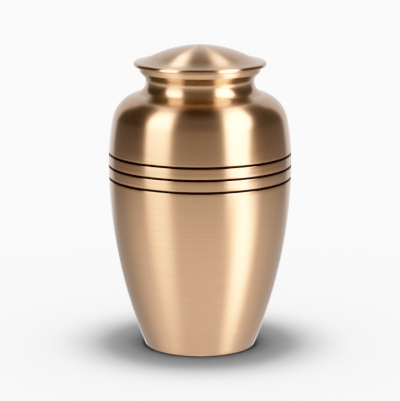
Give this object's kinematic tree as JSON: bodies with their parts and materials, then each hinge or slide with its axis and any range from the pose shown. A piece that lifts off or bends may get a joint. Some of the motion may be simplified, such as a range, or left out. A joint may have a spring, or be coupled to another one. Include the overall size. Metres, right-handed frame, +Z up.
{
  "type": "cremation urn",
  "caption": "Round brass cremation urn: tapering body with dark grooves around the belly, waisted neck and a low domed lift-off lid.",
  "frame": {"origin": "centre of the foot, on the surface that the urn stands on", "axes": "+Z up along the urn's axis of rotation, from the foot to the top of the lid"},
  "size_m": [0.1562, 0.1562, 0.2593],
  "materials": {
    "brushed_brass": "satin, brushed around the axis, lightly lacquered",
    "brushed_brass_lid": "satin, brushed around the axis, lightly lacquered",
    "groove_black": "black fill in the grooves, satin"
  },
  "bodies": {
    "root": {"urn_body": "brushed_brass", "lid": "brushed_brass_lid"}
  },
  "joints": []
}
